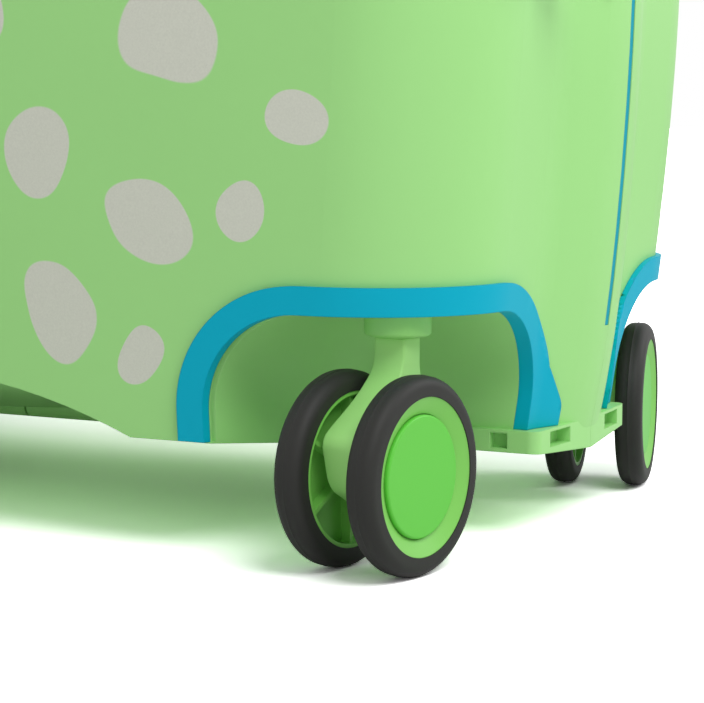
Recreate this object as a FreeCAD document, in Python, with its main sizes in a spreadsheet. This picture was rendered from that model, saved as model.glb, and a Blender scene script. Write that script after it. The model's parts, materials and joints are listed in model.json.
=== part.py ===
import FreeCAD, Part
import math
import os
import Sketcher

# A ride-on suitcase: two hinged half shells on four twin-wheel casters.
# Frame: origin on the floor below the middle of the case, X to the front end,
# Y to the far side, Z up. Lengths are in millimetres.

doc = FreeCAD.newDocument("ride_on_suitcase")
V = FreeCAD.Vector

SIZES = [
    # Clearances and helpers
    ("overrun", 20.0), ("running_fit", 0.05), ("bearing_gap", 0.05), ("loose_gap", 0.4),
    # Plan of the case at six heights: height, nose, flat end, half width
    ("plan0_z", 20.0), ("plan0_nose", 211.0), ("plan0_end", 202.0), ("plan0_side", 111.5),
    ("plan1_z", 72.0), ("plan1_nose", 223.0), ("plan1_end", 209.5), ("plan1_side", 114.0),
    ("plan2_z", 130.0), ("plan2_nose", 228.7), ("plan2_end", 215.2), ("plan2_side", 116.5),
    ("plan3_z", 200.0), ("plan3_nose", 231.0), ("plan3_end", 219.5), ("plan3_side", 116.5),
    ("plan4_z", 262.0), ("plan4_nose", 229.0), ("plan4_end", 219.5), ("plan4_side", 111.5),
    ("plan5_z", 330.0), ("plan5_nose", 222.0), ("plan5_end", 214.0), ("plan5_side", 102.0),
    ("prow_half", 38.0), ("nose_lead", 2.5), ("nose_round", 45.0), ("cheek_round", 30.0),
    ("corner_round", 46.0), ("side_bulge", 4.0), ("side_round", 2500.0),
    # Saddle line along the top
    ("rear_hump_x", 165.0), ("rear_hump_z", 288.0), ("rear_fall", 8.0), ("seat_rear_x", 85.0),
    ("seat_z", 250.0), ("seat_front_x", 60.0), ("front_hump_x", 130.0), ("front_hump_z", 300.0),
    ("front_fall", 10.0), ("hump_round", 60.0), ("seat_round", 90.0), ("top_round", 26.0),
    ("sky_z", 460.0), ("reach_x", 400.0), ("reach_y", 260.0),
    # Shell wall and parting
    ("wall", 2.6), ("part_gap", 0.05),
    # Keel, belly and underside
    ("keel_half", 43.2), ("keel_top_z", 38.8), ("keel_end", 212.5), ("keel_nose", 215.5),
    ("keel_round", 4.0), ("keel_mid_z", 28.0), ("keel_side_z", 31.0), ("skirt_z", 38.4),
    ("belly_z", 49.0), ("belly_round", 250.0),
    # Wheel wells
    ("well_half", 40.5), ("well_corner_x", 148.0), ("well_lean_deg", 18.0), ("well_corner_round", 37.0),
    ("well_top_z", 83.0), ("well_top_round", 34.0),
    # Arch trims
    ("trim_proud", 2.3), ("trim_band", 9.4), ("trim_lip", 1.6), ("trim_lip_depth", 3.0),
    ("trim_foot_z", 38.9), ("foot_spread", 7.0), ("foot_rise", 23.0), ("foot_stand", 7.0),
    # Seam seal
    ("seal_width", 3.4), ("seal_recess", 0.3), ("seal_depth", 1.7), ("seal_end_z", 72.6),
    # Hinge
    ("knuckle_r", 4.5), ("knuckle_pitch", 60.0), ("knuckle_gap", 1.0), ("knuckle_relief", 0.6),
    ("hinge_pin_r", 2.0), ("hinge_pin_inset", 1.0),
    # Clip windows in the keel
    ("side_window_x", 198.0), ("side_window_w", 6.5), ("window_h", 5.4), ("window_z", 35.0),
    ("end_window_y", 25.0), ("end_window_w", 16.0), ("window_depth", 3.5),
    # Casters
    ("stem_x", 185.0), ("stem_y", 96.0), ("trail", 11.6), ("wheel_r", 32.5), ("twin_spacing", 27.9),
    ("tyre_w", 10.6), ("tyre_round", 3.9), ("seat_r", 25.8), ("seat_chamfer", 0.6),
    ("rim_r", 21.6), ("rim_half", 5.0), ("web_in", 0.7), ("web_out", 1.5), ("boss_r", 7.5),
    ("dish_a", 3.9), ("cap_r", 19.9), ("cap_gap", 0.35), ("cap_face_a", 3.8), ("cap_back_a", 1.6),
    ("cap_round", 0.8), ("cap_pocket_r", 6.6), ("cap_pocket_a", 3.0), ("rib_w", 1.5), ("rib_rise", 3.6),
    ("rib_sink", 0.4),
    ("axle_r", 3.5), ("axle_head_r", 5.4), ("axle_head_h", 1.1), ("fork_half", 8.2), ("fork_hub_r", 14.0),
    ("neck_half", 6.0), ("neck_front", 5.0), ("neck_back", 4.5), ("neck_low_z", 66.0), ("throat_z", 55.0),
    ("throat_y", 11.0), ("throat_bow", 1.2), ("shoulder_z", 48.0), ("back_z", 52.0), ("fork_round", 1.6),
    ("stem_r", 4.0), ("stem_sink", 13.0), ("stem_head_r", 6.0), ("stem_head_h", 2.5),
    ("collar_r", 11.0), ("collar_h", 7.2), ("collar_round", 1.5), ("tube_r", 6.5), ("tube_h", 20.0),
    ("nut_r", 8.8), ("nut_h", 4.0),
    # Latches
    ("landing_x", 221.5), ("landing_half", 27.0), ("landing_z", 206.0), ("landing_half_h", 16.5),
    ("lever_half_h", 11.5), ("lever_thick", 4.0), ("lever_lift", 0.3), ("lever_pivot_y", 19.0),
    ("lever_tip_y", 22.0), ("lever_round", 3.0), ("latch_pin_r", 1.6), ("latch_lug_w", 3.4), ("latch_lug_half", 4.0),
    ("keeper_near_y", 8.0), ("keeper_far_y", 19.0), ("keeper_half_h", 5.0), ("keeper_h", 1.8),
    ("keeper_room", 3.0), ("pull_h", 2.2), ("pull_w", 5.0),
    # Hand grips
    ("grip_x", 142.0), ("grip_y", 56.0), ("grip_z", 282.0), ("grip_r", 14.5), ("grip_len", 76.0),
    ("grip_base_r", 24.0), ("grip_base_len", 34.0), ("grip_groove", 0.8), ("grip_groove_pitch", 7.0),
    ("grip_lean_deg", 34.0), ("grip_rake_deg", 12.0), ("grip_end_round", 11.0),
    # Strap eyes
    ("eye_y", 62.0), ("eye_z", 200.0), ("eye_reach", 11.0), ("eye_r", 9.0), ("eye_thick", 6.0),
    ("eye_hole_r", 4.5), ("eye_edge", 1.2),
]

RIB_COUNT = 8
SWIVEL_DEG = {"near_front": -7.9, "far_front": 13.2, "near_rear": -4.0, "far_rear": 172.1}
GROOVE_COUNT = 5

sheet = doc.addObject("Spreadsheet::Sheet", "sizes")
for row, (alias, value) in enumerate(SIZES, 1):
    sheet.set("A%d" % row, alias)
    sheet.set("B%d" % row, str(value))
    sheet.setAlias("B%d" % row, alias)
doc.recompute()


def size(alias):
    return float(sheet.get(alias))


# Outlines of lines and arcs: each corner has its own radius
def rounded(corners, radii, place):
    count = len(corners)
    starts, mids, ends = [], [], []
    for i in range(count):
        corner = V(corners[i][0], corners[i][1], 0)
        before = V(corners[i - 1][0], corners[i - 1][1], 0) - corner
        after = V(corners[(i + 1) % count][0], corners[(i + 1) % count][1], 0) - corner
        before.normalize()
        after.normalize()
        half = before.getAngle(after) / 2
        middle = before + after
        if radii[i] > 0:
            middle.normalize()
        trim = radii[i] / math.tan(half)
        starts.append(corner + before * trim)
        ends.append(corner + after * trim)
        mids.append(corner + middle * (radii[i] / math.sin(half) - radii[i]))
    edges = []
    for i in range(count):
        if radii[i] > 0:
            edges.append(Part.Arc(place(starts[i]), place(mids[i]), place(ends[i])).toShape())
        edges.append(Part.LineSegment(place(ends[i]), place(starts[(i + 1) % count])).toShape())
    return Part.Wire(edges)


def prism(corners, radii, place, along):
    return Part.Face(rounded(corners, radii, place)).extrude(along)


def block(x0, x1, y0, y1, z0, z1):
    return Part.makeBox(x1 - x0, y1 - y0, z1 - z0, V(x0, y0, z0))


OVER = size("overrun")
FAR_X = size("reach_x")
FAR_Y = size("reach_y")


# Outer form of the case at an offset from its skin, before any opening is cut
def hull(off):
    wires = []
    for level in range(6):
        z = size("plan%d_z" % level)
        nose = size("plan%d_nose" % level) + size("nose_lead") + off
        end = size("plan%d_end" % level) + off
        side = size("plan%d_side" % level) + off
        prow = size("prow_half")
        belly = side + size("side_bulge")
        corners = [(nose, 0), (end, prow), (end, side), (0, belly), (-end, side), (-end, prow),
                   (-nose, 0), (-end, -prow), (-end, -side), (0, -belly), (end, -side), (end, -prow)]
        nose_r = size("nose_round") + off
        cheek_r = size("cheek_round") - off
        corner_r = size("corner_round") + off
        side_r = size("side_round")
        radii = [nose_r, cheek_r, corner_r, side_r, corner_r, cheek_r] * 2
        wires.append(rounded(corners, radii, lambda p, z=z: V(p.x, p.y, z)))
    body = Part.makeLoft(wires, True, False)
    sky = size("sky_z")
    line = [(-FAR_X, size("rear_hump_z") - size("rear_fall") + off),
            (-size("rear_hump_x"), size("rear_hump_z") + off),
            (-size("seat_rear_x"), size("seat_z") + off), (size("seat_front_x"), size("seat_z") + off),
            (size("front_hump_x"), size("front_hump_z") + off),
            (FAR_X, size("front_hump_z") - size("front_fall") + off), (FAR_X, sky), (-FAR_X, sky)]
    hump_r, seat_r = size("hump_round"), size("seat_round")
    radii = [0, hump_r, seat_r, seat_r, hump_r, 0, 0, 0]
    above = prism(line, radii, lambda p: V(p.x, -FAR_Y, p.y), V(0, 2 * FAR_Y, 0))
    body = body.cut(above)
    seen = {}
    for face in body.Faces:
        u0, u1, v0, v1 = face.ParameterRange
        if face.normalAt((u0 + u1) / 2, (v0 + v1) / 2).z > 0.6:
            for edge in face.Edges:
                seen.setdefault(edge.hashCode(), []).append(edge)
    rim = [found[0] for found in seen.values() if len(found) == 1]
    return body.makeFillet(size("top_round") + off, rim)


# Wheel well of the front end on the near side, grown by an offset
def well(grow):
    lean = math.radians(size("well_lean_deg"))
    inner_y = -size("well_half") + grow
    corner_x = size("well_corner_x") - grow / math.cos(lean) + grow * math.tan(lean)
    outer_x = corner_x - (FAR_Y + inner_y) * math.tan(lean)
    top = size("well_top_z") + grow
    corners = [(outer_x, -FAR_Y), (corner_x, inner_y), (FAR_X, inner_y), (FAR_X, -FAR_Y)]
    radii = [0, size("well_corner_round") + grow, 0, 0]
    body = prism(corners, radii, lambda p: V(p.x, p.y, -OVER), V(0, 0, top + OVER))
    rim = []
    for edge in body.Edges:
        box = edge.BoundBox
        if box.ZMin > top - size("bearing_gap"):
            if box.XMin < FAR_X - OVER and box.YMax > OVER - FAR_Y:
                rim.append(edge)
    return body.makeFillet(size("well_top_round") + grow, rim)


def four(shape):
    flip_x = shape.mirror(V(0, 0, 0), V(1, 0, 0))
    flip_y = shape.mirror(V(0, 0, 0), V(0, 1, 0))
    return [shape, flip_x, flip_y, flip_x.mirror(V(0, 0, 0), V(0, 1, 0))]


# Space under the keel and the skirts, with the raised belly on both sides
def underside(off):
    half = size("keel_half")
    mid_z, side_z = size("keel_mid_z") - off, size("keel_side_z") - off
    rise = (size("skirt_z") - size("keel_side_z")) / (size("plan1_side") - half)
    wide_z = side_z + rise * (FAR_Y - half)
    corners = [(-FAR_Y, -OVER), (FAR_Y, -OVER), (FAR_Y, wide_z), (half, side_z), (0, mid_z),
               (-half, side_z), (-FAR_Y, wide_z)]
    below = prism(corners, [0] * 7, lambda p: V(-FAR_X, p.x, p.y), V(2 * FAR_X, 0, 0))
    slope = (size("belly_z") - size("keel_side_z")) / (size("plan1_side") - half)
    radius = size("belly_round")
    start = V(0, -half, side_z - radius)
    run = V(0, -1, slope)
    run.normalize()
    near = Part.makeCylinder(radius, FAR_Y - half, start, run)
    return [below, near, near.mirror(V(0, 0, 0), V(0, 1, 0))]


def keel_bar(off):
    half, end = size("keel_half") + off, size("keel_end") + off
    nose = size("keel_nose") + off
    corners = [(end, -half), (nose, 0), (end, half), (-end, half), (-nose, 0), (-end, -half)]
    turn = size("keel_round") + off
    soft = size("nose_round") + off
    radii = [turn, soft, turn, turn, soft, turn]
    return prism(corners, radii, lambda p: V(p.x, p.y, 0), V(0, 0, size("keel_top_z") + off))


# Flat seats for the latches, as cutters grown into the wall
def landings(off):
    deep = size("landing_x") + off
    half, tall = size("landing_half") - off, size("landing_half_h") - off
    mid = size("landing_z")
    front = block(deep, FAR_X, -half, half, mid - tall, mid + tall)
    return [front, front.mirror(V(0, 0, 0), V(1, 0, 0))]


# Clip windows at the ends of the keel, as cutters grown into the wall
def windows(off):
    low = size("window_z") - size("window_h") / 2 + off
    high = size("window_z") + size("window_h") / 2 - off
    side_w = size("side_window_w") / 2 - off
    side_y = size("keel_half") - size("window_depth") + off
    side = block(size("side_window_x") - side_w, size("side_window_x") + side_w, -FAR_Y, -side_y, low, high)
    end_w = size("end_window_w") / 2 - off
    end_x = size("keel_end") - size("window_depth") + off
    end = block(end_x, FAR_X, -size("end_window_y") - end_w, -size("end_window_y") + end_w, low, high)
    return four(side) + four(end)


def case_form(off):
    body = hull(off).cut(four(well(-off)))
    body = body.fuse(keel_bar(off))
    return body.cut(underside(off) + landings(off) + windows(off))


def keep(label, shape):
    node = doc.addObject("Part::Feature", label)
    node.Label = label
    node.Shape = shape
    return node


def only_solid(shape):
    if len(shape.Solids) == 1:
        return shape.Solids[0]
    return Part.makeCompound(shape.Solids)


MIRROR_X = (V(0, 0, 0), V(1, 0, 0))
MIRROR_Y = (V(0, 0, 0), V(0, 1, 0))
nodes = []

# Arch trims: a raised band round each wheel well with a lip over the cut edge of the shell
quarter = block(0, FAR_X, -FAR_Y, 0, size("trim_foot_z"), size("well_top_z") + 2 * size("trim_band"))
skin = hull(0).common(quarter)
proud = hull(size("trim_proud")).common(quarter)
deep = hull(-size("trim_lip_depth")).common(quarter)
hole = well(0)
foot_y = -size("well_half") + size("trim_band")
foot_z = size("trim_foot_z")
foot = prism([(-size("well_half") - OVER, foot_z), (foot_y + size("foot_spread"), foot_z),
              (foot_y + size("foot_spread"), foot_z + size("foot_stand")), (foot_y, foot_z + size("foot_rise")),
              (-size("well_half") - OVER, foot_z + size("foot_rise"))],
             [0, 0, size("foot_stand"), size("foot_rise") / 2, 0],
             lambda p: V(size("stem_x"), p.x, p.y), V(FAR_X, 0, 0))
band = proud.cut(skin).common(well(size("trim_band")).fuse(foot)).cut(hole)
lip = proud.cut(deep).common(well(size("trim_lip"))).cut(hole)
trim = only_solid(band.fuse(lip).removeSplitter())

# Half shells: the case form less the same form one wall further in, split along the middle
outer = case_form(0)
inner = case_form(-size("wall"))
shell = outer.cut(inner).cut(four(lip))
gap = size("part_gap") / 2
near = shell.common(block(-FAR_X, FAR_X, -FAR_Y, -gap, -OVER, size("sky_z")))
far = shell.common(block(-FAR_X, FAR_X, gap, FAR_Y, -OVER, size("sky_z")))

# Hinge knuckles along the keel, turn and turn about on the two halves
axis_z = size("keel_mid_z")
pitch = size("knuckle_pitch")
pin_r = size("hinge_pin_r")
for place in range(-2, 3):
    start = (place - 0.5) * pitch
    length = pitch - size("knuckle_gap")
    barrel = Part.makeCylinder(size("knuckle_r"), length, V(start + size("knuckle_gap") / 2, 0, axis_z), V(1, 0, 0))
    relief = Part.makeCylinder(size("knuckle_r") + size("knuckle_relief"), pitch, V(start, 0, axis_z), V(1, 0, 0))
    if place % 2 == 0:
        near = near.fuse(barrel)
        far = far.cut(relief)
    else:
        far = far.fuse(barrel)
        near = near.cut(relief)
near = near.cut(Part.makeCylinder(pin_r, 5 * pitch, V(-2.5 * pitch, 0, axis_z), V(1, 0, 0)))
far_bore = pin_r + size("running_fit")
far = far.cut(Part.makeCylinder(far_bore, 5 * pitch, V(-2.5 * pitch, 0, axis_z), V(1, 0, 0)))

# Holes for the caster sockets
socket_hole_r = size("tube_r") + size("running_fit")
for sx in (-1, 1):
    hole_at = V(sx * size("stem_x"), -size("stem_y"), size("well_top_z") - OVER / 2)
    near = near.cut(Part.makeCylinder(socket_hole_r, OVER, hole_at))
    hole_at.y = size("stem_y")
    far = far.cut(Part.makeCylinder(socket_hole_r, OVER, hole_at))

# Rebate for the seam seal on the near half, and the seal that lies in it
slab = block(-FAR_X, FAR_X, -size("seal_width"), 0, size("seal_end_z"), size("sky_z"))
bed = hull(-size("seal_depth")).cut(landings(-size("seal_depth")))
near = near.cut(slab.cut(bed))
seal = hull(-size("seal_recess")).cut(landings(-size("seal_recess"))).cut(bed)
seal = seal.common(block(-FAR_X, FAR_X, -size("seal_width"), -gap, size("seal_end_z"), size("sky_z")))

# Latch lugs on the near half
pivot_x = size("landing_x") + size("lever_lift") + size("lever_thick")
pivot_y = -size("lever_pivot_y")
lug_half = size("latch_lug_half")
lug_in = size("lever_half_h") + size("loose_gap") / 2
for sign in (-1, 1):
    z0 = size("landing_z") + sign * lug_in
    z1 = z0 + sign * size("latch_lug_w")
    lug = block(size("landing_x") - size("wall") / 2, pivot_x, pivot_y - lug_half, pivot_y + lug_half, min(z0, z1), max(z0, z1))
    lug = lug.fuse(Part.makeCylinder(lug_half, abs(z1 - z0), V(pivot_x, pivot_y, min(z0, z1))))
    hole_z = V(pivot_x, pivot_y, min(z0, z1) - OVER)
    pin_hole = Part.makeCylinder(size("latch_pin_r"), 2 * OVER + size("latch_lug_w"), hole_z)
    lug = lug.cut(pin_hole)
    near = near.fuse([lug, lug.mirror(*MIRROR_X)])

nodes.append(keep("near_shell", only_solid(near.removeSplitter())))
nodes.append(keep("far_shell", only_solid(far.removeSplitter())))
nodes.append(keep("seam_seal", only_solid(seal)))
for label, shape in zip(("near_front_arch", "near_rear_arch", "far_front_arch", "far_rear_arch"), four(trim)):
    nodes.append(keep(label, shape))

# Hinge pin
pin = doc.addObject("Part::Cylinder", "hinge_pin")
pin.Label = "hinge_pin"
pin.setExpression("Radius", "sizes.hinge_pin_r")
pin.setExpression("Height", "5 * sizes.knuckle_pitch - 2 * sizes.hinge_pin_inset")
pin.setExpression("Placement.Base.x", "sizes.hinge_pin_inset - 2.5 * sizes.knuckle_pitch")
pin.setExpression("Placement.Base.z", "sizes.keel_mid_z")
pin.Placement.Rotation = FreeCAD.Rotation(V(0, 1, 0), 90)
nodes.append(pin)


# Turned pieces: an outline of corners bound to the sheet, revolved about one axis of the sketch
def turned(label, corners, axis):
    body = doc.addObject("PartDesign::Body", label + "_body")
    sketch = body.newObject("Sketcher::SketchObject", label + "_outline")
    sketch.AttachmentSupport = [(body.Origin.OriginFeatures[3], "")]
    sketch.MapMode = "FlatFace"
    spots = []
    for across, up in corners:
        spots.append(V(float(sketch.evalExpression(across)), float(sketch.evalExpression(up)), 0))
    count = len(spots)
    for i in range(count):
        sketch.addGeometry(Part.LineSegment(spots[i], spots[(i + 1) % count]), False)
    for i in range(count):
        sketch.addConstraint(Sketcher.Constraint("Coincident", i, 2, (i + 1) % count, 1))
        for kind, text, value in (("DistanceX", corners[i][0], spots[i].x), ("DistanceY", corners[i][1], spots[i].y)):
            number = sketch.addConstraint(Sketcher.Constraint(kind, -1, 1, i, 1, value))
            sketch.setExpression("Constraints[%d]" % number, text)
    turn = body.newObject("PartDesign::Revolution", label + "_turn")
    turn.Profile = sketch
    turn.ReferenceAxis = (sketch, [axis])
    turn.Angle = 360
    body.Tip = turn
    doc.recompute()
    return body


def soften(body, label, radius, pick):
    turn = body.Tip
    names = []
    for i, edge in enumerate(turn.Shape.Edges, 1):
        if pick(edge):
            names.append("Edge%d" % i)
    round_off = body.newObject("PartDesign::Fillet", label + "_round")
    round_off.Base = (turn, names)
    round_off.setExpression("Radius", radius)
    body.Tip = round_off
    doc.recompute()
    return body


def circle_at(edge, radius, along=None):
    if not isinstance(edge.Curve, Part.Circle) or abs(edge.Curve.Radius - radius) > size("bearing_gap"):
        return False
    return along is None or abs(edge.Curve.Center.x - along) < size("bearing_gap")


# Wheel of a twin caster, centred on its own mid plane, outer face towards plus X
tyre = turned("tyre", [("-sizes.tyre_w / 2", "sizes.seat_r"), ("sizes.tyre_w / 2", "sizes.seat_r"),
                       ("sizes.tyre_w / 2", "sizes.wheel_r"), ("-sizes.tyre_w / 2", "sizes.wheel_r")], "H_Axis")
tyre = soften(tyre, "tyre", "sizes.tyre_round", lambda e: circle_at(e, size("wheel_r")))

boss_end = "-(sizes.twin_spacing / 2 - sizes.fork_half - sizes.bearing_gap)"
bore = "sizes.axle_r + sizes.running_fit"
recess_r = "sizes.cap_r + sizes.cap_gap"
hub = turned("hub", [(boss_end, bore), (boss_end, "sizes.boss_r"), ("-sizes.web_in", "sizes.boss_r"),
                     ("-sizes.web_in", "sizes.rim_r"), ("-sizes.rim_half", "sizes.rim_r"),
                     ("-sizes.rim_half", "sizes.seat_r"), ("sizes.rim_half", "sizes.seat_r"),
                     ("sizes.dish_a", recess_r), ("sizes.web_out", recess_r), ("sizes.web_out", bore)], "H_Axis")
rib_sketch = hub.newObject("Sketcher::SketchObject", "hub_rib_outline")
rib_sketch.AttachmentSupport = [(hub.Origin.OriginFeatures[3], "")]
rib_sketch.MapMode = "FlatFace"
rib_spots = [("-sizes.web_in - sizes.rib_rise", "sizes.boss_r - sizes.rib_sink"),
             ("-sizes.web_in + sizes.rib_sink", "sizes.boss_r - sizes.rib_sink"),
             ("-sizes.web_in + sizes.rib_sink", "sizes.rim_r + sizes.rib_sink"),
             ("-sizes.web_in - sizes.rib_rise", "sizes.rim_r + sizes.rib_sink")]
spots = [V(float(rib_sketch.evalExpression(a)), float(rib_sketch.evalExpression(b)), 0) for a, b in rib_spots]
for i in range(4):
    rib_sketch.addGeometry(Part.LineSegment(spots[i], spots[(i + 1) % 4]), False)
for i in range(4):
    rib_sketch.addConstraint(Sketcher.Constraint("Coincident", i, 2, (i + 1) % 4, 1))
    for kind, text, value in (("DistanceX", rib_spots[i][0], spots[i].x), ("DistanceY", rib_spots[i][1], spots[i].y)):
        number = rib_sketch.addConstraint(Sketcher.Constraint(kind, -1, 1, i, 1, value))
        rib_sketch.setExpression("Constraints[%d]" % number, text)
rib = hub.newObject("PartDesign::Pad", "hub_rib")
rib.Profile = rib_sketch
rib.setExpression("Length", "sizes.rib_w")
rib.Midplane = True
hub.Tip = rib
doc.recompute()
ribs = hub.newObject("PartDesign::PolarPattern", "hub_ribs")
ribs.Originals = [rib]
ribs.Axis = (rib_sketch, ["H_Axis"])
ribs.Angle = 360
ribs.Occurrences = RIB_COUNT
hub.Tip = ribs
doc.recompute()

cap = turned("cap", [("sizes.cap_pocket_a", "0"), ("sizes.cap_pocket_a", "sizes.cap_pocket_r"),
                     ("sizes.cap_back_a", "sizes.cap_pocket_r"), ("sizes.cap_back_a", "sizes.cap_r"),
                     ("sizes.cap_face_a", "sizes.cap_r"), ("sizes.cap_face_a", "0")], "H_Axis")
cap = soften(cap, "cap", "sizes.cap_round", lambda e: circle_at(e, size("cap_r"), size("cap_face_a")))

# Axle: a steel pin with a head at each end, inside the hub caps
head_in = "(sizes.twin_spacing / 2 + sizes.web_out + sizes.bearing_gap)"
head_out = "(sizes.twin_spacing / 2 + sizes.web_out + sizes.bearing_gap + sizes.axle_head_h)"
axle = turned("axle", [("-" + head_out, "0"), ("-" + head_out, "sizes.axle_head_r"), ("-" + head_in, "sizes.axle_head_r"),
                       ("-" + head_in, "sizes.axle_r"), (head_in, "sizes.axle_r"), (head_in, "sizes.axle_head_r"),
                       (head_out, "sizes.axle_head_r"), (head_out, "0")], "H_Axis")

# Socket: a collar below the well roof and a tube through it
collar_low = "sizes.well_top_z - sizes.collar_h"
tube_top = "sizes.well_top_z + sizes.tube_h"
stem_bore = "sizes.stem_r + sizes.running_fit"
socket = turned("socket", [(stem_bore, collar_low), ("sizes.collar_r", collar_low), ("sizes.collar_r", "sizes.well_top_z"),
                           ("sizes.tube_r", "sizes.well_top_z"), ("sizes.tube_r", tube_top), (stem_bore, tube_top)], "V_Axis")
socket = soften(socket, "socket", "sizes.collar_round",
                lambda e: circle_at(e, size("collar_r")) and e.Curve.Center.y < size("well_top_z") - size("collar_h") / 2)

nut_low = "sizes.well_top_z + sizes.wall"
nut_high = "sizes.well_top_z + sizes.wall + sizes.nut_h"
nut = turned("nut", [("sizes.tube_r", nut_low), ("sizes.nut_r", nut_low), ("sizes.nut_r", nut_high),
                     ("sizes.tube_r", nut_high)], "V_Axis")

fork_top = "(sizes.well_top_z - sizes.collar_h - sizes.bearing_gap)"
head_low = "(sizes.well_top_z + sizes.tube_h + sizes.bearing_gap)"
stem = turned("stem", [("0", fork_top + " - sizes.stem_sink"), ("sizes.stem_r", fork_top + " - sizes.stem_sink"),
                       ("sizes.stem_r", head_low), ("sizes.stem_head_r", head_low),
                       ("sizes.stem_head_r", head_low + " + sizes.stem_head_h"), ("0", head_low + " + sizes.stem_head_h")], "V_Axis")

# Fork: a swept arm between the wheels, from the neck under the socket down to the axle
trail, wheel_r = size("trail"), size("wheel_r")
hub_r = size("fork_hub_r")
top_z = size("well_top_z") - size("collar_h") - size("bearing_gap")


def side_point(y, z):
    return V(-size("fork_half"), y, z)


def hub_point(angle_deg):
    angle = math.radians(angle_deg)
    return side_point(-trail + hub_r * math.cos(angle), wheel_r + hub_r * math.sin(angle))


front_top = side_point(-size("neck_front"), top_z)
front_low = side_point(-size("neck_front"), size("neck_low_z"))
throat = side_point(-size("throat_y"), size("throat_z"))
bow = (front_low + throat) * 0.5 + V(0, size("throat_bow"), 0)
back_low = side_point(size("neck_back"), size("back_z"))
back_top = side_point(size("neck_back"), top_z)
edges = [Part.LineSegment(front_top, front_low), Part.Arc(front_low, bow, throat),
         Part.LineSegment(throat, hub_point(150)), Part.Arc(hub_point(150), hub_point(250), hub_point(355)),
         Part.LineSegment(hub_point(355), back_low), Part.LineSegment(back_low, back_top),
         Part.LineSegment(back_top, front_top)]
arm = Part.Face(Part.Wire([e.toShape() for e in edges])).extrude(V(2 * size("fork_half"), 0, 0))
wide, slim = size("fork_half"), size("neck_half")
facing = prism([(-wide, -OVER), (wide, -OVER), (wide, size("shoulder_z")), (slim, size("neck_low_z")), (slim, top_z),
                (-slim, top_z), (-slim, size("neck_low_z")), (-wide, size("shoulder_z"))], [0] * 8,
               lambda p: V(p.x, -FAR_Y, p.y), V(0, 2 * FAR_Y, 0))
arm = arm.common(facing).removeSplitter()
long_edges = []
for edge in arm.Edges:
    box = edge.BoundBox
    if box.XLength < size("bearing_gap") + abs(wide - slim) and box.ZMin < top_z - size("bearing_gap"):
        if abs(box.Center.x) > slim / 2:
            long_edges.append(edge)
arm = arm.makeFillet(size("fork_round"), long_edges)
arm = arm.cut(Part.makeCylinder(size("axle_r"), 4 * wide, V(-2 * wide, -trail, wheel_r), V(1, 0, 0)))
stem_low = V(0, 0, top_z - size("stem_sink"))
fork_shape = arm.cut(Part.makeCylinder(size("stem_r"), OVER, stem_low))

# The four casters, each turned to its own heading
upright = FreeCAD.Placement(V(0, 0, 0), FreeCAD.Rotation(V(1, 0, 0), 90))
half_space = size("twin_spacing") / 2
nut_shapes = {"near": [], "far": []}
for corner, heading in SWIVEL_DEG.items():
    side, end = corner.split("_")
    stand = V(size("stem_x") if end == "front" else -size("stem_x"), size("stem_y") if side == "far" else -size("stem_y"), 0)
    turn = FreeCAD.Placement(stand, FreeCAD.Rotation(V(0, 0, 1), heading))
    for label, body in (("socket", socket), ("stem", stem)):
        node = keep("%s_%s" % (corner, label), body.Shape.copy())
        node.Placement = turn.multiply(upright)
        nodes.append(node)
    nut_shapes[side].append(nut.Shape.transformGeometry(turn.multiply(upright).toMatrix()))
    node = keep("%s_fork" % corner, fork_shape.copy())
    node.Placement = turn
    nodes.append(node)
    centre = FreeCAD.Placement(V(0, -trail, wheel_r), FreeCAD.Rotation())
    node = keep("%s_axle" % corner, axle.Shape.copy())
    node.Placement = turn.multiply(centre)
    nodes.append(node)
    for wheel, way in (("a", 1), ("b", -1)):
        spin = FreeCAD.Rotation(V(0, 0, 1), 0 if way > 0 else 180)
        seat = FreeCAD.Placement(V(way * half_space, -trail, wheel_r), spin)
        for label, body in (("hub", hub), ("tyre", tyre), ("cap", cap)):
            node = keep("%s_%s_%s" % (corner, label, wheel), body.Shape.copy())
            node.Placement = turn.multiply(seat)
            nodes.append(node)
for side in ("near", "far"):
    nodes.append(keep("%s_socket_nuts" % side, Part.makeCompound(nut_shapes[side])))

# Latches: a lever on the near half that lies over a keeper on the far half
mid = size("landing_z")
lever_back = size("landing_x") + size("lever_lift")
lever_h = size("lever_half_h")
plate = prism([(pivot_y, mid - lever_h), (size("lever_tip_y"), mid - lever_h), (size("lever_tip_y"), mid + lever_h),
               (pivot_y, mid + lever_h)], [0, size("lever_round"), size("lever_round"), 0],
              lambda p: V(lever_back, p.x, p.y), V(size("lever_thick"), 0, 0))
barrel = Part.makeCylinder(size("lever_thick"), 2 * lever_h, V(pivot_x, pivot_y, mid - lever_h))
pull = block(pivot_x, pivot_x + size("pull_h"), size("lever_tip_y") - size("pull_w") - size("lever_round"),
             size("lever_tip_y") - size("lever_round"), mid - lever_h + size("lever_round"), mid + lever_h - size("lever_round"))
room = size("keeper_half_h") + size("keeper_room")
mouth = block(lever_back - OVER, size("landing_x") + size("keeper_h") + size("loose_gap"),
              size("keeper_near_y") - size("loose_gap") * 2, FAR_Y, mid - room, mid + room)
lever = plate.fuse([barrel, pull]).cut(mouth)
pin_at = V(pivot_x, pivot_y, mid - lever_h - OVER)
lever = lever.cut(Part.makeCylinder(size("latch_pin_r") + size("running_fit"), 2 * (lever_h + OVER), pin_at)).removeSplitter()
keeper = block(size("landing_x"), size("landing_x") + size("keeper_h"), size("keeper_near_y"), size("keeper_far_y"),
               mid - size("keeper_half_h"), mid + size("keeper_half_h"))
pin_half_h = lug_in + size("latch_lug_w")
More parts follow.
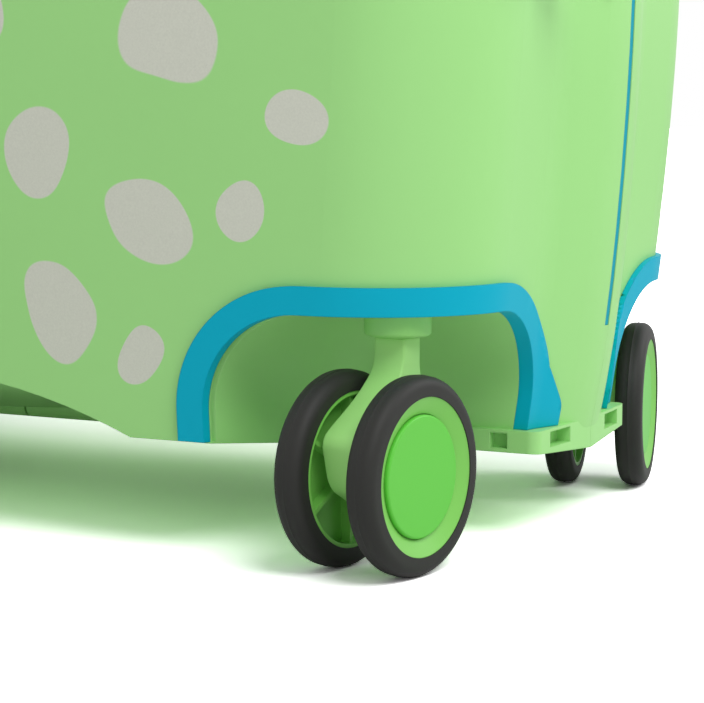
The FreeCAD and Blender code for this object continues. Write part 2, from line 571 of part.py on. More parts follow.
latch_pin = Part.makeCylinder(size("latch_pin_r"), 2 * pin_half_h, V(pivot_x, pivot_y, mid - pin_half_h))
nodes.append(keep("front_latch_lever", lever))
nodes.append(keep("rear_latch_lever", lever.mirror(*MIRROR_X)))
nodes.append(keep("front_latch_keeper", keeper))
nodes.append(keep("rear_latch_keeper", keeper.mirror(*MIRROR_X)))
nodes.append(keep("latch_pins", Part.makeCompound([latch_pin, latch_pin.mirror(*MIRROR_X)])))

# Hand grips on the front hump, cut to the skin they stand on
grip_r, grip_len = size("grip_r"), size("grip_len")
grip = Part.makeCylinder(grip_r, grip_len, V(0, 0, 0))
tip = [e for e in grip.Edges if e.BoundBox.ZMin > grip_len - size("bearing_gap")]
grip = grip.makeFillet(size("grip_end_round"), tip)
grip = grip.fuse(Part.makeCone(size("grip_base_r"), grip_r, size("grip_base_len"), V(0, 0, 0)))
for i in range(GROOVE_COUNT):
    z = grip_len - 2 * size("grip_end_round") - i * size("grip_groove_pitch")
    grip = grip.cut(Part.makeTorus(grip_r + size("grip_groove"), 2 * size("grip_groove"), V(0, 0, z)))
lean = FreeCAD.Rotation(V(1, 0, 0), size("grip_lean_deg"))
rake = FreeCAD.Rotation(V(0, 1, 0), -size("grip_rake_deg"))
grip.Placement = FreeCAD.Placement(V(size("grip_x"), -size("grip_y"), size("grip_z")), rake.multiply(lean))
grip = only_solid(grip.cut(hull(0)))
nodes.append(keep("near_grip", grip))
nodes.append(keep("far_grip", grip.mirror(*MIRROR_Y)))

# Strap eyes on the flat ends of the near half
eye_x = size("plan3_end") + size("eye_reach")
eye_low = size("eye_z") - size("eye_thick") / 2
eye = block(size("stem_x"), eye_x, -size("eye_y") - size("eye_r"), -size("eye_y") + size("eye_r"), eye_low, eye_low + size("eye_thick"))
eye = eye.fuse(Part.makeCylinder(size("eye_r"), size("eye_thick"), V(eye_x, -size("eye_y"), eye_low))).removeSplitter()
edges = [e for e in eye.Edges if e.BoundBox.ZLength < size("bearing_gap") and e.BoundBox.XMax > eye_x - OVER]
edges = [e for e in edges if e.BoundBox.XMax > size("stem_x") + size("eye_edge")]
eye = eye.makeFillet(size("eye_edge"), edges)
eye = eye.cut(Part.makeCylinder(size("eye_hole_r"), 2 * OVER, V(eye_x, -size("eye_y"), size("eye_z") - OVER)))
eye = only_solid(eye.cut(hull(0)))
nodes.append(keep("front_strap_eye", eye))
nodes.append(keep("rear_strap_eye", eye.mirror(*MIRROR_X)))

doc.recompute()

# Check every object, then write one file for each sub-part
for item in doc.Objects:
    if "Invalid" in item.State or "Error" in item.State:
        raise RuntimeError("object in error: " + item.Name)
os.makedirs("parts", exist_ok=True)
for node in nodes:
    shape = node.Shape
    if shape.isNull() or not shape.isValid() or not shape.Solids:
        raise RuntimeError("bad shape: " + node.Label)
    shape.exportStep("parts/%s.step" % node.Label)
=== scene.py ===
import json
import math

import bmesh
import bpy
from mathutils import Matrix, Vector


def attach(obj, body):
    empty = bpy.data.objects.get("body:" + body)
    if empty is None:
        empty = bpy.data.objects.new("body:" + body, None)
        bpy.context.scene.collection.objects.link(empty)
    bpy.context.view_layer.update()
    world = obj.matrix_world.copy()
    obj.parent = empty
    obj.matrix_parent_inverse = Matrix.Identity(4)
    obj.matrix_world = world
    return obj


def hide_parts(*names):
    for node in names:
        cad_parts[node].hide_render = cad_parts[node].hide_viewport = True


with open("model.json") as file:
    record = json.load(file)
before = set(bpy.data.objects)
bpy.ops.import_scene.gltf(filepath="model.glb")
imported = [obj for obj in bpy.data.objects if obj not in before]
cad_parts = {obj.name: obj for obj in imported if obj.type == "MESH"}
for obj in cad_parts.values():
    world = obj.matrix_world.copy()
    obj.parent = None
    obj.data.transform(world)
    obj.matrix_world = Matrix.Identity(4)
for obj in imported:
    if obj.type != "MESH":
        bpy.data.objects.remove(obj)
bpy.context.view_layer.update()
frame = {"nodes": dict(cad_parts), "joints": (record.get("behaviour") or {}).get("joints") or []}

# Half shells: two deep trays of moulded polypropylene with a satin, faintly grained skin,
# joined under the keel by a pinned hinge. Pale pebble spots are printed on both long sides.
SHELL_GREEN = (0.352, 0.722, 0.242, 1.0)
PRINT_GREY = (0.640, 0.655, 0.565, 1.0)
INK_DRIFT, INK_SPECKLE = 0.07, 1400.0
PRINT_EDGE = 0.05
SPOT_WOBBLE, WOBBLE_SCALE = 0.0042, 38.0
# Each spot: its place along and up the side, its half width and half height, its turn in degrees
SPOTS = [
    (-0.166, 0.190, 0.020, 0.014, 20), (-0.118, 0.214, 0.015, 0.011, -30),
    (-0.128, 0.148, 0.013, 0.018, 15), (-0.072, 0.176, 0.022, 0.016, 35),
    (-0.030, 0.216, 0.013, 0.010, 0), (-0.078, 0.112, 0.016, 0.012, -20),
    (-0.012, 0.138, 0.014, 0.020, -15), (0.030, 0.186, 0.019, 0.014, 50),
    (0.060, 0.134, 0.012, 0.016, 10), (0.082, 0.212, 0.016, 0.012, -25),
    (0.012, 0.090, 0.011, 0.008, 30), (0.112, 0.172, 0.021, 0.015, 25),
    (0.152, 0.222, 0.014, 0.018, -10), (0.160, 0.146, 0.012, 0.009, 15),
    (0.067, 0.080, 0.013, 0.017, -20), (0.104, 0.112, 0.018, 0.013, 30),
    (0.138, 0.116, 0.008, 0.010, 0), (0.099, 0.066, 0.008, 0.010, 25),
    (-0.040, 0.074, 0.015, 0.011, -35), (-0.150, 0.112, 0.011, 0.009, 40),
]
GRAIN_INPUTS = {"Pit Size": 900.0, "Drift Size": 9.0, "Roughness": 0.4, "Spread": 0.06}
GRAIN_STRENGTH = 0.6
EDGE_SAMPLES = 4
NOISE_MEAN = 0.5


# Sets a shader node's inputs to values, or links them to other nodes' outputs.
def feed(tree, node, inputs):
    for socket, value in inputs.items():
        if isinstance(value, bpy.types.NodeSocket):
            tree.links.new(value, node.inputs[socket])
        else:
            node.inputs[socket].default_value = value


# Adds a shader node with its options and inputs, and gives its outputs.
def add_node(tree, kind, inputs, **options):
    node = tree.nodes.new("ShaderNode" + kind)
    for option, value in options.items():
        setattr(node, option, value)
    feed(tree, node, inputs)
    return node.outputs


# A new material, its node tree and its surface shader.
def new_finish(name):
    finish = bpy.data.materials.new(name)
    finish.use_nodes = True
    return finish, finish.node_tree, finish.node_tree.nodes["Principled BSDF"]


# A colour darkened and lightened by a share of itself.
def shades(colour, share):
    return [tuple(min(1.0, c * level) for c in colour[:3]) + (1.0,) for level in (1.0 - share, 1.0 + share)]


# Moulded grain: fine pits, and a slow drift of tone where the plastic cooled unevenly.
def moulded_grain():
    tree = bpy.data.node_groups.new("moulded_grain", "ShaderNodeTree")
    for name, value in GRAIN_INPUTS.items():
        socket = tree.interface.new_socket(name, in_out="INPUT", socket_type="NodeSocketFloat")
        socket.default_value = value
    for name in ("Height", "Tone", "Roughness"):
        tree.interface.new_socket(name, in_out="OUTPUT", socket_type="NodeSocketFloat")
    given = tree.nodes.new("NodeGroupInput").outputs
    made = tree.nodes.new("NodeGroupOutput")
    place = add_node(tree, "TexCoord", {})["Object"]
    pits = add_node(tree, "TexNoise", {"Vector": place, "Scale": given["Pit Size"], "Detail": 3.0})["Fac"]
    drift = add_node(tree, "TexNoise", {"Vector": place, "Scale": given["Drift Size"], "Detail": 2.0})["Fac"]
    centred = add_node(tree, "Math", {0: pits, 1: NOISE_MEAN}, operation="SUBTRACT")[0]
    rough = add_node(tree, "Math", {0: centred, 1: given["Spread"], 2: given["Roughness"]},
                     operation="MULTIPLY_ADD")[0]
    feed(tree, made, {"Height": pits, "Tone": drift, "Roughness": rough})
    return tree


GRAIN = moulded_grain()


# A plastic or rubber finish: its colour drifts a little, its skin carries the grain,
# and its moulded edges are softened by a small radius.
def moulded_finish(name, colour, roughness, gloss, drift, pit_size, pit_depth, edge):
    finish, tree, shader = new_finish(name)
    dark, light = shades(colour, drift)
    grain = add_node(tree, "Group", {"Pit Size": pit_size, "Roughness": roughness}, node_tree=GRAIN)
    tone = add_node(tree, "Mix", {"Factor": grain["Tone"], "A": dark, "B": light},
                    data_type="RGBA", name="tone")["Result"]
    soft = add_node(tree, "Bevel", {"Radius": edge}, samples=EDGE_SAMPLES)["Normal"]
    skin = add_node(tree, "Bump", {"Strength": GRAIN_STRENGTH, "Distance": pit_depth,
                                   "Height": grain["Height"], "Normal": soft})["Normal"]
    feed(tree, shader, {"Base Color": tone, "Roughness": grain["Roughness"],
                        "Specular IOR Level": gloss, "Normal": skin})
    return finish


# Spots: each is an ellipse on the side view, nudged out of true by a slow noise, and only
# on the faces that look away from the middle of the case.
def printed_spots(finish):
    tree = finish.node_tree
    coords = add_node(tree, "TexCoord", {})
    place = coords["Object"]
    wobble = add_node(tree, "TexNoise", {"Vector": place, "Scale": WOBBLE_SCALE, "Detail": 0.0})["Color"]
    centred = add_node(tree, "VectorMath", {0: wobble, 1: (NOISE_MEAN, NOISE_MEAN, NOISE_MEAN)},
                       operation="SUBTRACT")[0]
    nudge = (2 * SPOT_WOBBLE, 0.0, 2 * SPOT_WOBBLE)
    nudged = add_node(tree, "VectorMath", {0: centred, 1: nudge, 2: place}, operation="MULTIPLY_ADD")[0]
    flat = add_node(tree, "VectorMath", {0: nudged, 1: (1.0, 0.0, 1.0)}, operation="MULTIPLY")[0]
    nearest = None
    for x, z, wide, tall, turn in SPOTS:
        local = add_node(tree, "Mapping", {"Vector": flat, "Location": (x, 0.0, z),
                                           "Rotation": (0.0, math.radians(turn), 0.0),
                                           "Scale": (wide, 1.0, tall)}, vector_type="TEXTURE")[0]
        reach = add_node(tree, "VectorMath", {0: local}, operation="LENGTH")["Value"]
        if nearest is None:
            nearest = reach
        else:
            nearest = add_node(tree, "Math", {0: nearest, 1: reach}, operation="MINIMUM")[0]
    mask = add_node(tree, "MapRange", {"Value": nearest, "From Min": 1.0 + PRINT_EDGE / 2,
                                       "From Max": 1.0 - PRINT_EDGE / 2},
                    interpolation_type="SMOOTHSTEP")["Result"]
    facing = add_node(tree, "SeparateXYZ", {0: coords["Normal"]})["Y"]
    across = add_node(tree, "SeparateXYZ", {0: place})["Y"]
    outwards = add_node(tree, "Math", {0: facing, 1: across}, operation="MULTIPLY")[0]
    outside = add_node(tree, "Math", {0: outwards, 1: 0.0}, operation="GREATER_THAN")[0]
    inked = add_node(tree, "Math", {0: mask, 1: outside}, operation="MULTIPLY")[0]
    speckle = add_node(tree, "TexNoise", {"Vector": place, "Scale": INK_SPECKLE, "Detail": 1.0})["Fac"]
    dark, light = shades(PRINT_GREY, INK_DRIFT)
    ink = add_node(tree, "Mix", {"Factor": speckle, "A": dark, "B": light}, data_type="RGBA")["Result"]
    tone = tree.nodes["tone"].outputs["Result"]
    printed = add_node(tree, "Mix", {"Factor": inked, "A": tone, "B": ink}, data_type="RGBA")["Result"]
    feed(tree, tree.nodes["Principled BSDF"], {"Base Color": printed})


# Puts a finish on pieces of the frame, in place of the one they came with.
def wear(finish, *names):
    for name in names:
        mesh = frame["nodes"][name].data
        mesh.materials.clear()
        mesh.materials.append(finish)


shell_finish = moulded_finish("shell_plastic", SHELL_GREEN, roughness=0.42, gloss=0.35, drift=0.03,
                              pit_size=1100.0, pit_depth=0.00003, edge=0.0006)
printed_spots(shell_finish)
wear(shell_finish, "near_shell", "far_shell")

# Hinge pin, latch pins and socket nuts: bright turned steel. The pins are pressed into the near
# half, and the nuts sit on the sockets' tubes inside. Fine marks from the lathe vary their shine.
TURNED_STEEL = (0.55, 0.55, 0.56, 1.0)
LATHE_SCALE, LATHE_DETAIL = 2600.0, 2.0
SHINE_FROM, SHINE_TO = 0.22, 0.40
steel, steel_tree, steel_shader = new_finish("turned_steel")
steel_place = add_node(steel_tree, "TexCoord", {})["Object"]
lathe_marks = add_node(steel_tree, "TexNoise", {"Vector": steel_place, "Scale": LATHE_SCALE,
                                                "Detail": LATHE_DETAIL})["Fac"]
shine = add_node(steel_tree, "MapRange", {"Value": lathe_marks, "To Min": SHINE_FROM,
                                          "To Max": SHINE_TO})["Result"]
feed(steel_tree, steel_shader, {"Base Color": TURNED_STEEL, "Metallic": 1.0, "Roughness": shine})
wear(steel, "hinge_pin", "latch_pins", "near_socket_nuts", "far_socket_nuts")

# Seam seal: a soft teal rubber strip pressed into the rebate along the near half's edge.
# It closes the joint between the halves.
SEAL_TEAL = (0.004, 0.330, 0.440, 1.0)
seal_finish = moulded_finish("seal_rubber", SEAL_TEAL, roughness=0.6, gloss=0.15, drift=0.04,
                             pit_size=1500.0, pit_depth=0.00002, edge=0.0005)
wear(seal_finish, "seam_seal")

# Arch trims: moulded cyan bands over the cut edge of each wheel well, with a flared foot
# beside the nose. The lip behind each side leg is cut back to the shell's skin, and the
# upper corner of each foot is cut to a slant.
TRIM_CYAN = (0.0, 0.418, 0.591, 1.0)
LEG_X, LEG_WIDE = 0.130, 0.060
LIP_Y, LIP_Z = 0.1135, 0.039
LIP_TALL, LIP_BELOW, LIP_DEEP = 0.080, 0.010, 0.020
LEG_DRAFT = math.radians(2.8)
FOOT_X, FOOT_Y, FOOT_Z = 0.205, 0.0329, 0.061
FOOT_WIDE, FOOT_DEEP, FOOT_TALL = 0.050, 0.020, 0.020
FOOT_SLANT = math.radians(31.3)
TRIM_CREASE = math.radians(20.0)
# Points closer than this count as one
FIT = 0.00001


# Makes a piece the only one that is selected.
def choose(piece):
    bpy.ops.object.select_all(action="DESELECT")
    piece.select_set(True)
    bpy.context.view_layer.objects.active = piece


# Merges the open mesh's doubles, turns its faces outwards and leaves edit mode.
def close_mesh():
    bpy.ops.mesh.select_all(action="SELECT")
    bpy.ops.mesh.remove_doubles(threshold=FIT)
    bpy.ops.mesh.normals_make_consistent(inside=False)
    bpy.ops.object.mode_set(mode="OBJECT")


# Cuts a piece with a tool, or joins the two, and removes the tool.
def cut(piece, tool, operation):
    choose(piece)
    step = piece.modifiers.new("cut", "BOOLEAN")
    step.operation = operation
    step.object = tool
    step.solver = "EXACT"
    bpy.ops.object.modifier_apply(modifier=step.name)
    bpy.data.objects.remove(tool)


# A block of a size, offset from its pivot, tilted about the pivot and set in place.
def tilted_block(size, offset, tilt, place):
    bpy.ops.mesh.primitive_cube_add(size=1.0)
    block = bpy.context.object
    block.scale = size
    block.location = offset
    bpy.ops.object.transform_apply(location=True, rotation=True, scale=True)
    block.rotation_euler = (tilt, 0.0, 0.0)
    block.location = place
    bpy.ops.object.transform_apply(location=True, rotation=True, scale=True)
    return block


trim_finish = moulded_finish("trim_plastic", TRIM_CYAN, roughness=0.46, gloss=0.12, drift=0.03,
                             pit_size=1500.0, pit_depth=0.00002, edge=0.0007)
for half, side in (("near", -1.0), ("far", 1.0)):
    for end, way in (("front", 1.0), ("rear", -1.0)):
        node = "%s_%s_arch" % (half, end)
        solid = frame["nodes"][node]
        band = bpy.data.objects.new(node + "_band", solid.data.copy())
        band.data.transform(solid.matrix_world)
        bpy.context.scene.collection.objects.link(band)
        choose(band)
        bpy.ops.object.mode_set(mode="EDIT")
        close_mesh()
        behind_leg = tilted_block((LEG_WIDE, LIP_DEEP, LIP_TALL),
                                  (0.0, -side * LIP_DEEP / 2, LIP_TALL / 2 - LIP_BELOW),
                                  -side * LEG_DRAFT, (way * LEG_X, side * LIP_Y, LIP_Z))
        cut(band, behind_leg, "DIFFERENCE")
        above_foot = tilted_block((FOOT_WIDE, FOOT_DEEP, FOOT_TALL),
                                  (0.0, -side * FOOT_DEEP / 2, -FOOT_TALL / 2),
                                  -side * FOOT_SLANT, (way * FOOT_X, side * FOOT_Y, FOOT_Z))
        cut(band, above_foot, "DIFFERENCE")
        bpy.ops.object.shade_smooth_by_angle(angle=TRIM_CREASE)
        even = band.modifiers.new("even", "WEIGHTED_NORMAL")
        even.keep_sharp = True
        bpy.ops.object.modifier_apply(modifier=even.name)
        band.data.materials.clear()
        band.data.materials.append(trim_finish)
        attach(band, half + "_half")
        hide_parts(node)

# Strap eyes, latch levers and keepers: small mouldings of the same cyan plastic. The eyes and
# keepers are fixed to the ends of the case, and the levers turn on pins in their lugs.
wear(trim_finish, "front_strap_eye", "rear_strap_eye", "front_latch_lever", "rear_latch_lever",
     "front_latch_keeper", "rear_latch_keeper")

# Hand grips: soft cyan rubber with five shallow grooves for the fingers, fixed to the front
# hump of each half. The rubber is duller than the trims and has a coarser grain.
GRIP_CYAN = (0.0, 0.400, 0.570, 1.0)
grip_finish = moulded_finish("grip_rubber", GRIP_CYAN, roughness=0.58, gloss=0.2, drift=0.03,
                             pit_size=900.0, pit_depth=0.00006, edge=0.0006)
wear(grip_finish, "near_grip", "far_grip")

# Caster sockets: satin green nylon collars through the well roofs, held by the nuts inside.
# Each takes the steel stem of its fork, and the steel axle crosses the fork below.
SOCKET_GREEN = (0.280, 0.660, 0.175, 1.0)
CORNERS = ("near_front", "far_front", "near_rear", "far_rear")
socket_finish = moulded_finish("socket_nylon", SOCKET_GREEN, roughness=0.45, gloss=0.3, drift=0.03,
                               pit_size=1200.0, pit_depth=0.00003, edge=0.0005)
for corner in CORNERS:
    wear(socket_finish, corner + "_socket")
    wear(steel, corner + "_stem", corner + "_axle")

# Caster forks: a nylon arm between the wheels, swept back from a narrow neck over a rounded
# heel to the axle. Its side outline is drawn out, narrowed to the neck, edge-rounded and bored.
# The fork's green is the nylon's own green made lighter than the sockets' green. The extra lightness is
# painted light for the lamp light that falls on the arm between the wheels.
FORK_GREEN_WITH_PAINTED_LIGHT = (0.390, 0.800, 0.240, 1.0)
FORK_HALF, SHOULDER_UP = 0.0082, 0.048
NECK_HALF, NECK_LOW = 0.0060, 0.066
FORK_TOP = max((frame["nodes"]["near_front_fork"].matrix_world @ v.co).z
               for v in frame["nodes"]["near_front_fork"].data.vertices)
NECK_FRONT, NECK_BACK, BACK_UP = 0.0050, 0.0045, 0.052
THROAT = (-0.0140, 0.0567)
HEEL = (-0.0318, 0.0448)
SOLE = [(-0.0276, 0.0284), (-0.0130, 0.0202), (-0.0004, 0.0250)]
THROAT_ROUND, HEEL_ROUND, SOLE_ROUND, ROUND_STEPS = 0.0050, 0.0035, 0.0040, 6
FORK_EDGE, FORK_EDGE_STEPS = 0.0014, 3
FORK_EDGE_FROM = math.radians(50.0)
FORK_CREASE = math.radians(30.0)
TRAIL, AXLE_UP = 0.0116, 0.0325
AXLE_BORE, STEM_BORE, STEM_LONG, BORE_SIDES = 0.0035, 0.0040, 0.013, 48
REACH = 0.1
JOINTS = {joint["name"]: joint for joint in frame["joints"]}


# Selects the points of the open mesh that pass a test on their place.
def pick(piece, test):
    mesh = bmesh.from_edit_mesh(piece.data)
    for point in mesh.verts:
        point.select = test(point.co)
    mesh.select_flush(True)
    bmesh.update_edit_mesh(piece.data)


# A closed line through the points, left open in edit mode with all of it selected.
def traced(name, points):
    bpy.ops.object.select_all(action="DESELECT")
    bpy.ops.mesh.primitive_plane_add(size=REACH)
    piece = bpy.context.object
    piece.name = name
    bpy.ops.object.mode_set(mode="EDIT")
    bpy.ops.mesh.select_mode(type="VERT")
    bpy.ops.mesh.merge(type="CENTER")
    bpy.ops.transform.translate(value=points[0])
    for start, end in zip(points, points[1:]):
        step = Vector(end) - Vector(start)
        bpy.ops.mesh.extrude_vertices_move(TRANSFORM_OT_translate={"value": step})
    ends = (Vector(points[0]), Vector(points[-1]))
    pick(piece, lambda p: any((p - end).length < FIT for end in ends))
    bpy.ops.mesh.edge_face_add()
    bpy.ops.mesh.select_all(action="SELECT")
    return piece


# Draws the open mesh's face out to a solid.
def draw_out(way):
    bpy.ops.mesh.select_all(action="SELECT")
    bpy.ops.mesh.extrude_region_move(TRANSFORM_OT_translate={"value": way})
    close_mesh()


# A copy of a piece with its own mesh, set at a place and turned about the vertical.
def placed(piece, name, place, turn):
    choose(piece)
    bpy.ops.object.duplicate()
    copy = bpy.context.object
    copy.name = name
    copy.location = place
    copy.rotation_euler = (0.0, 0.0, turn)
    bpy.ops.object.transform_apply(location=True, rotation=True, scale=True)
    return copy


# The joint of one wheel of a caster.
def wheel_joint(corner, wheel):
    return JOINTS["%s_wheel_%s_spin" % (corner, wheel)]


# The angle in plan of the line from one wheel of a caster to the other.
def heading(corner, start, end):
    line = Vector(wheel_joint(corner, end)["pos_m"]) - Vector(wheel_joint(corner, start)["pos_m"])
    return math.atan2(line.y, line.x)


side_points = [(-NECK_FRONT, FORK_TOP), (-NECK_FRONT, NECK_LOW), THROAT, HEEL] + SOLE
side_points += [(NECK_BACK, BACK_UP), (NECK_BACK, FORK_TOP)]
arm = traced("fork_arm", [(-FORK_HALF, y, z) for y, z in side_points])
bpy.ops.mesh.edge_face_add()
for corners, radius in (([(-NECK_FRONT, NECK_LOW), THROAT], THROAT_ROUND), ([HEEL], HEEL_ROUND),
                        (SOLE, SOLE_ROUND)):
    pick(arm, lambda p: any(abs(p.y - y) < FIT and abs(p.z - z) < FIT for y, z in corners))
    bpy.ops.mesh.bevel(offset=radius, segments=ROUND_STEPS, affect="VERTICES")
draw_out((2 * FORK_HALF, 0.0, 0.0))
wedge_points = [(FORK_HALF + FIT, 0.0), (FORK_HALF + FIT, SHOULDER_UP)]
wedge_points += [(NECK_HALF, NECK_LOW), (NECK_HALF, REACH)]
wedge_points += [(-x, z) for x, z in reversed(wedge_points)]
wedge = traced("fork_wedge", [(x, -REACH / 2, z) for x, z in wedge_points])
bpy.ops.mesh.edge_face_add()
draw_out((0.0, REACH, 0.0))
cut(arm, wedge, "INTERSECT")
soft = arm.modifiers.new("soft", "BEVEL")
soft.width = FORK_EDGE
soft.segments = FORK_EDGE_STEPS
soft.limit_method = "ANGLE"
soft.angle_limit = FORK_EDGE_FROM
bpy.ops.object.modifier_apply(modifier=soft.name)
bpy.ops.mesh.primitive_cylinder_add(vertices=BORE_SIDES, radius=AXLE_BORE, depth=REACH,
                                    location=(0.0, -TRAIL, AXLE_UP), rotation=(0.0, math.pi / 2, 0.0))
cut(arm, bpy.context.object, "DIFFERENCE")
bpy.ops.mesh.primitive_cylinder_add(vertices=BORE_SIDES, radius=STEM_BORE, depth=2 * STEM_LONG,
                                    location=(0.0, 0.0, FORK_TOP))
cut(arm, bpy.context.object, "DIFFERENCE")
bpy.ops.object.shade_smooth_by_angle(angle=FORK_CREASE)
# The fork's finish carries painted light: its green is lighter than the nylon's own colour.
fork_finish_with_painted_light = moulded_finish("fork_nylon_painted_light", FORK_GREEN_WITH_PAINTED_LIGHT, roughness=0.45, gloss=0.3, drift=0.03,
                             pit_size=1200.0, pit_depth=0.00003, edge=0.0003)
arm.data.materials.append(fork_finish_with_painted_light)
for corner in CORNERS:
    stem_at = JOINTS[corner + "_swivel_turn"]["pos_m"]
    fork = placed(arm, corner + "_fork_arm", (stem_at[0], stem_at[1], 0.0), heading(corner, "b", "a"))
    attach(fork, corner + "_swivel")
    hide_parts(corner + "_fork")
bpy.data.objects.remove(arm)

# Wheel hubs: satin green plastic with a thin rim, a conical outer face and a deep pocket with
# six ribs on the inner side. The section is turned about the axle and the ribs are joined on.
HUB_GREEN = (0.215, 0.580, 0.108, 1.0)
HUB_OUT = 0.02575
POCKET_R = 0.0244
RIM_HALF = 0.0050
WEB_IN, WEB_OUT = -0.0001, 0.0015
DISH_X, DISH_R = 0.0024, 0.02025
BOSS_R, BOSS_X = 0.0075, -0.0057
HUB_BORE = 0.00355
RIB_WIDE, RIB_X = 0.0015, -0.0037
RIB_SINK = 0.0003
RIB_COUNT, RIB_START = 6, 0.5
TURN_STEPS = 128
HUB_CREASE = math.radians(30.0)


# Turns the open mesh's closed line once about the x axis to a ring.
def turn_round():
    bpy.ops.mesh.spin(steps=TURN_STEPS, angle=math.tau, center=(0.0, 0.0, 0.0), axis=(1.0, 0.0, 0.0))
    close_mesh()


hub_section = [(BOSS_X, HUB_BORE), (BOSS_X, BOSS_R), (WEB_IN, BOSS_R), (WEB_IN, POCKET_R),
               (-RIM_HALF, POCKET_R), (-RIM_HALF, HUB_OUT), (RIM_HALF, HUB_OUT), (DISH_X, DISH_R),
               (WEB_OUT, DISH_R), (WEB_OUT, HUB_BORE)]
hub_ring = traced("hub_ring", [(x, radius, 0.0) for x, radius in hub_section])
turn_round()
rib_root = WEB_IN + RIB_SINK
rib_in, rib_out = BOSS_R - RIB_SINK, POCKET_R + RIB_SINK
for turn in range(RIB_COUNT):
    rib = tilted_block((rib_root - RIB_X, rib_out - rib_in, RIB_WIDE),
                       ((rib_root + RIB_X) / 2, (rib_in + rib_out) / 2, 0.0),
                       math.tau * (turn + RIB_START) / RIB_COUNT, (0.0, 0.0, 0.0))
    cut(hub_ring, rib, "UNION")
bpy.ops.object.shade_smooth_by_angle(angle=HUB_CREASE)
hub_finish = moulded_finish("hub_plastic", HUB_GREEN, roughness=0.4, gloss=0.3, drift=0.03,
                            pit_size=1200.0, pit_depth=0.00002, edge=0.0003)
hub_ring.data.materials.append(hub_finish)
for corner in CORNERS:
    for wheel, other in (("a", "b"), ("b", "a")):
        hub_at = wheel_joint(corner, wheel)["pos_m"]
        node = "%s_hub_%s" % (corner, wheel)
        hub = placed(hub_ring, node + "_moulding", hub_at, heading(corner, other, wheel))
        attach(hub, "%s_wheel_%s" % (corner, wheel))
        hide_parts(node)
bpy.data.objects.remove(hub_ring)

# Hub caps: flat discs of a deeper green plastic that snap into the recess on the outer side
# of each hub and hide the end of the axle.
CAP_GREEN = (0.128, 0.580, 0.060, 1.0)
cap_finish = moulded_finish("cap_plastic", CAP_GREEN, roughness=0.4, gloss=0.3, drift=0.03,
                            pit_size=1200.0, pit_depth=0.00002, edge=0.0004)
for corner in CORNERS:
    wear(cap_finish, corner + "_cap_a", corner + "_cap_b")

# Tyres: solid rings of dark grey rubber on the hubs, with round shoulders and a fine parting
# line round the tread. The section is turned about the axle.
TYRE_GREY = (0.024, 0.024, 0.022, 1.0)
TYRE_WIDE = 0.0106
TYRE_IN, TYRE_OUT = 0.0258, 0.03232
SHOULDER, SHOULDER_STEPS = 0.0038, 7
LINE_HALF, LINE_RISE = 0.00035, 0.00016
TYRE_CREASE = math.radians(32.0)
bpy.ops.object.select_all(action="DESELECT")
bpy.ops.mesh.primitive_plane_add(size=1.0)
ring = bpy.context.object
ring.name = "tyre_ring"
ring.scale = (TYRE_WIDE, TYRE_OUT - TYRE_IN, 1.0)
ring.location = (0.0, (TYRE_OUT + TYRE_IN) / 2, 0.0)
bpy.ops.object.transform_apply(location=True, rotation=True, scale=True)
bpy.ops.object.mode_set(mode="EDIT")
bpy.ops.mesh.select_mode(type="VERT")
pick(ring, lambda p: p.y > TYRE_OUT - LINE_RISE)
bpy.ops.mesh.bevel(offset=SHOULDER, segments=SHOULDER_STEPS, affect="VERTICES")
bpy.ops.mesh.select_all(action="SELECT")
bpy.ops.mesh.delete(type="ONLY_FACE")
for line_x in (-LINE_HALF, 0.0, LINE_HALF):
    bpy.ops.mesh.select_all(action="SELECT")
    bpy.ops.mesh.bisect(plane_co=(line_x, 0.0, 0.0), plane_no=(1.0, 0.0, 0.0))
pick(ring, lambda p: abs(p.x) < LINE_HALF / 2 and p.y > TYRE_OUT - LINE_RISE)
bpy.ops.transform.translate(value=(0.0, LINE_RISE, 0.0))
bpy.ops.mesh.select_all(action="SELECT")
turn_round()
bpy.ops.object.shade_smooth_by_angle(angle=TYRE_CREASE)
tyre_finish = moulded_finish("tyre_rubber", TYRE_GREY, roughness=0.56, gloss=0.25, drift=0.08,
                             pit_size=1600.0, pit_depth=0.00004, edge=0.0002)
ring.data.materials.append(tyre_finish)
for corner in CORNERS:
    for wheel in ("a", "b"):
        joint = wheel_joint(corner, wheel)
        node = "%s_tyre_%s" % (corner, wheel)
        tyre_turn = math.atan2(joint["axis"][1], joint["axis"][0])
        tyre = placed(ring, node + "_rubber", joint["pos_m"], tyre_turn)
        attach(tyre, joint["child"])
        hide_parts(node)
bpy.data.objects.remove(ring)

# Floor: a wide pale plane under the wheels that keeps the shadow. It looks brighter to the
# camera than to the part, and away from the part it glows white to the camera.
FLOOR_WIDE = 40.0
FLOOR_PALE = (0.90, 0.90, 0.90, 1.0)
FLOOR_SEEN = (2.0, 2.0, 2.0, 1.0)
FLOOR_ROUGHNESS = 0.9
WHITE = (1.0, 1.0, 1.0, 1.0)
WHITE_FROM, WHITE_TO = 0.55, 0.95
bpy.ops.object.select_all(action="DESELECT")
bpy.ops.mesh.primitive_plane_add(size=FLOOR_WIDE, location=(0.0, 0.0, 0.0))
floor = bpy.context.object
floor.name = "studio_floor"
floor_finish, floor_tree, floor_shader = new_finish("floor_white")
floor_seen = add_node(floor_tree, "LightPath", {})["Is Camera Ray"]
floor_tone = add_node(floor_tree, "Mix", {"Factor": floor_seen, "A": FLOOR_PALE, "B": FLOOR_SEEN},
                      data_type="RGBA")["Result"]
floor_place = add_node(floor_tree, "TexCoord", {})["Object"]
floor_reach = add_node(floor_tree, "VectorMath", {0: floor_place}, operation="LENGTH")["Value"]
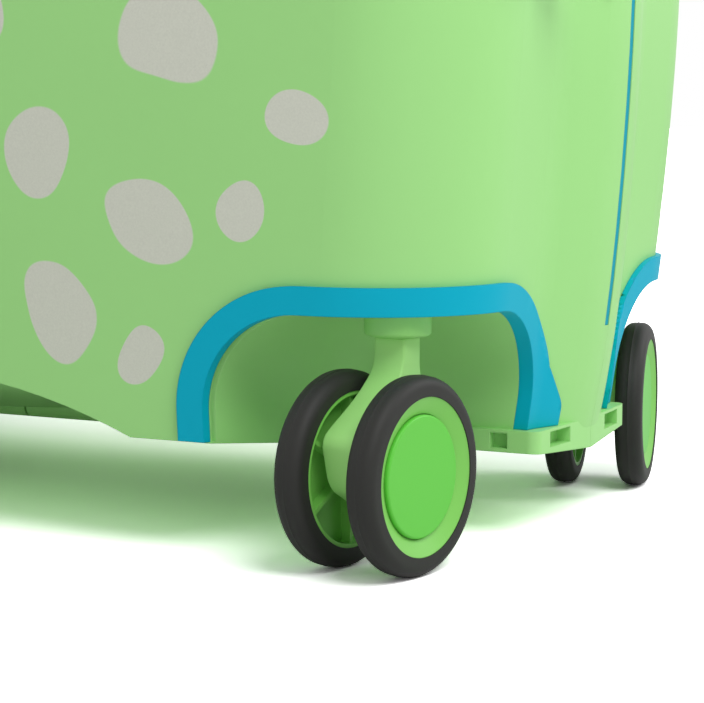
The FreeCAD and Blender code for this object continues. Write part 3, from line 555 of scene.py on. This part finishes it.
floor_fade = add_node(floor_tree, "MapRange", {"Value": floor_reach, "From Min": WHITE_FROM,
                                               "From Max": WHITE_TO},
                      interpolation_type="SMOOTHSTEP")["Result"]
floor_glow = add_node(floor_tree, "Math", {0: floor_fade, 1: floor_seen}, operation="MULTIPLY")[0]
feed(floor_tree, floor_shader, {"Base Color": floor_tone, "Roughness": FLOOR_ROUGHNESS,
                                "Specular IOR Level": 0.0, "Emission Color": WHITE,
                                "Emission Strength": floor_glow})
floor.data.materials.append(floor_finish)

# Studio light: a white room, dimmed where it lights the part, a large softbox high on the
# right of the camera, and a smaller one behind on the right.
ROOM_LEVEL, ROOM_SEEN = 0.48, 1.0
AIM = Vector((0.1, 0.0, 0.1))
# Each softbox: its name, its place, its width and its watts
SOFTBOXES = [
    ("softbox", (0.80, -0.50, 1.05), 0.7, 8.0),
    ("rear_softbox", (0.95, 0.75, 0.70), 0.6, 4.0),
]
world = bpy.data.worlds.new("studio")
bpy.context.scene.world = world
world.use_nodes = True
room_tree = world.node_tree
ray = add_node(room_tree, "LightPath", {})
shown = add_node(room_tree, "Math", {0: ray["Is Camera Ray"], 1: ray["Is Glossy Ray"]},
                 operation="MAXIMUM")[0]
through = add_node(room_tree, "Math", {0: shown, 1: ray["Is Transmission Ray"]}, operation="MAXIMUM")[0]
level = add_node(room_tree, "MapRange", {"Value": through, "To Min": ROOM_LEVEL,
                                         "To Max": ROOM_SEEN})["Result"]
feed(room_tree, room_tree.nodes["Background"], {"Color": WHITE, "Strength": level})
for name, place, wide, watts in SOFTBOXES:
    bpy.ops.object.light_add(type="AREA", location=place)
    softbox = bpy.context.object
    softbox.name = name
    softbox.data.shape = "DISK"
    softbox.data.size = wide
    softbox.data.energy = watts
    softbox.rotation_euler = (AIM - Vector(place)).to_track_quat("-Z", "Y").to_euler()

# Camera at the photograph's viewing angle: a long lens low by the near front corner of the
# case. Colours are shown as they are.
LENS_MM, SENSOR_MM, CLIP_FROM = 110.342, 36.0, 0.01
CAMERA_AT = (0.4920, -0.7231, 0.1476)
CAMERA_TILT, CAMERA_PAN = math.radians(83.702), math.radians(27.3046)
lens = bpy.data.cameras.new("photo_camera")
lens.lens = LENS_MM
lens.sensor_width = SENSOR_MM
lens.sensor_fit = "HORIZONTAL"
lens.clip_start = CLIP_FROM
camera = bpy.data.objects.new("photo_camera", lens)
bpy.context.scene.collection.objects.link(camera)
camera.location = CAMERA_AT
camera.rotation_euler = (CAMERA_TILT, 0.0, CAMERA_PAN)
bpy.context.scene.camera = camera
bpy.context.scene.view_settings.view_transform = "Standard"
